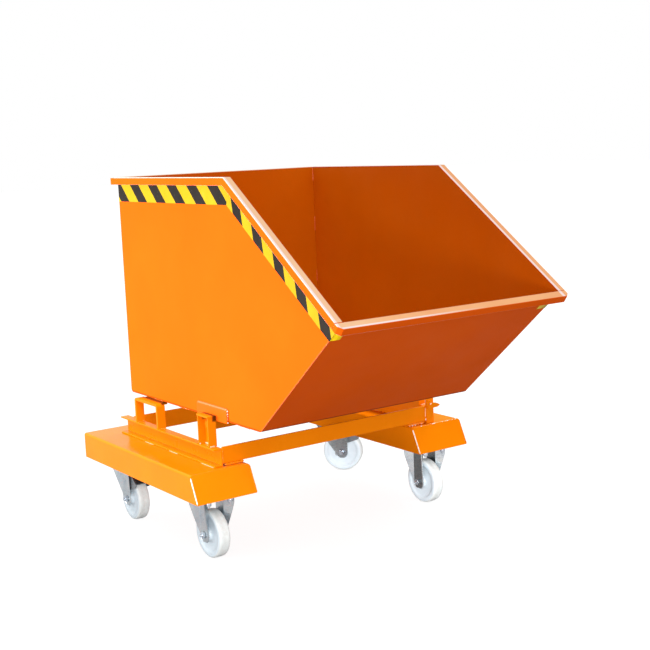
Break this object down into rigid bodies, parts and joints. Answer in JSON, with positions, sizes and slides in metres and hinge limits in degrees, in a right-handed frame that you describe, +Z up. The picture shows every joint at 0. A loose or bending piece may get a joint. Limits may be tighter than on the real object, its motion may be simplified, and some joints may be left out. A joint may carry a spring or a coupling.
{
  "type": "mobile tipping skip",
  "caption": "Steel hopper with a sloped pouring front that tips about side pivots on a fork-pocket undercarriage with fixed and swivel castors.",
  "frame": {"origin": "on the floor, midway across the width and midway along the overall length", "axes": "+Z up, -Y towards the pouring front, +X to the viewer's right when facing the pouring front from in front"},
  "size_m": [1.1256, 1.4754, 1.237],
  "materials": {
    "orange_paint": "semi-gloss powder coat",
    "warning_tape": "printed film with slanted black stripes",
    "zinc": "bright zinc plated",
    "white_polyamide": "moulded, satin"
  },
  "bodies": {
    "undercarriage": {"fork_pocket_left": "orange_paint", "fork_pocket_right": "orange_paint", "pocket_end_left": "orange_paint", "pocket_end_right": "orange_paint", "castor_mount_front_left": "orange_paint", "castor_mount_front_right": "orange_paint", "castor_mount_rear_left": "orange_paint", "castor_mount_rear_right": "orange_paint", "rail_left": "orange_paint", "rail_right": "orange_paint", "rest_left": "orange_paint", "rest_right": "orange_paint", "pivot_post_left": "orange_paint", "pivot_post_right": "orange_paint", "cross_beam_front": "orange_paint", "cross_beam_rear": "orange_paint", "lock_plate": "orange_paint", "pivot_bolt_left": "orange_paint", "pivot_bolt_right": "orange_paint", "lock_pin": "orange_paint", "castor_fork_front_left": "zinc", "axle_sleeve_front_left": "zinc", "axle_bolt_front_left": "zinc", "axle_nut_front_left": "zinc", "castor_fork_front_right": "zinc", "axle_sleeve_front_right": "zinc", "axle_bolt_front_right": "zinc", "axle_nut_front_right": "zinc", "castor_plate_rear_left": "zinc", "kingpin_rear_left": "zinc", "castor_plate_rear_right": "zinc", "kingpin_rear_right": "zinc"},
    "hopper": {"hopper_wrap": "orange_paint", "hopper_side_left": "orange_paint", "hopper_side_right": "orange_paint", "rim_left": "orange_paint", "rim_right": "orange_paint", "rim_front": "orange_paint", "rim_rear": "orange_paint", "tilt_tube": "orange_paint", "pivot_plate_left": "orange_paint", "pivot_plate_right": "orange_paint", "tape_left": "warning_tape", "tape_right": "warning_tape"},
    "lock_lever_body": {"lock_lever": "orange_paint"},
    "swivel_rear_left": {"castor_fork_rear_left": "zinc", "axle_sleeve_rear_left": "zinc", "axle_bolt_rear_left": "zinc", "axle_nut_rear_left": "zinc", "brake_pedal_rear_left": "zinc"},
    "swivel_rear_right": {"castor_fork_rear_right": "zinc", "axle_sleeve_rear_right": "zinc", "axle_bolt_rear_right": "zinc", "axle_nut_rear_right": "zinc", "brake_pedal_rear_right": "zinc"},
    "roller_front_left": {"wheel_front_left": "white_polyamide"},
    "roller_front_right": {"wheel_front_right": "white_polyamide"},
    "roller_rear_left": {"wheel_rear_left": "white_polyamide"},
    "roller_rear_right": {"wheel_rear_right": "white_polyamide"}
  },
  "joints": [
    {"name": "hopper_tilt", "type": "hinge", "parent": "undercarriage", "child": "hopper", "pos_m": [0, 0.03267, 0.4377], "axis": [1, 0, 0], "range_deg": [0, 45]},
    {"name": "lock_swing", "type": "hinge", "parent": "undercarriage", "child": "lock_lever_body", "pos_m": [0.436, -0.04803, 0.3795], "axis": [0, 1, 0], "range_deg": [0, 20]},
    {"name": "swivel_rear_left_turn", "type": "hinge", "parent": "undercarriage", "child": "swivel_rear_left", "pos_m": [-0.4523, 0.62267, 0.2025], "axis": [0, 0, 1], "continuous": true},
    {"name": "swivel_rear_right_turn", "type": "hinge", "parent": "undercarriage", "child": "swivel_rear_right", "pos_m": [0.4523, 0.62267, 0.2025], "axis": [0, 0, 1], "continuous": true},
    {"name": "wheel_front_left_roll", "type": "hinge", "parent": "undercarriage", "child": "roller_front_left", "pos_m": [-0.4523, 0.00667, 0.08], "axis": [1, 0, 0], "continuous": true},
    {"name": "wheel_front_right_roll", "type": "hinge", "parent": "undercarriage", "child": "roller_front_right", "pos_m": [0.4523, 0.00667, 0.08], "axis": [1, 0, 0], "continuous": true},
    {"name": "wheel_rear_left_roll", "type": "hinge", "parent": "swivel_rear_left", "child": "roller_rear_left", "pos_m": [-0.45544, 0.56275, 0.08], "axis": [0.9986, -0.0523, 0], "continuous": true},
    {"name": "wheel_rear_right_roll", "type": "hinge", "parent": "swivel_rear_right", "child": "roller_rear_right", "pos_m": [0.49322, 0.57879, 0.08], "axis": [0.7314, 0.682, 0], "continuous": true}
  ]
}
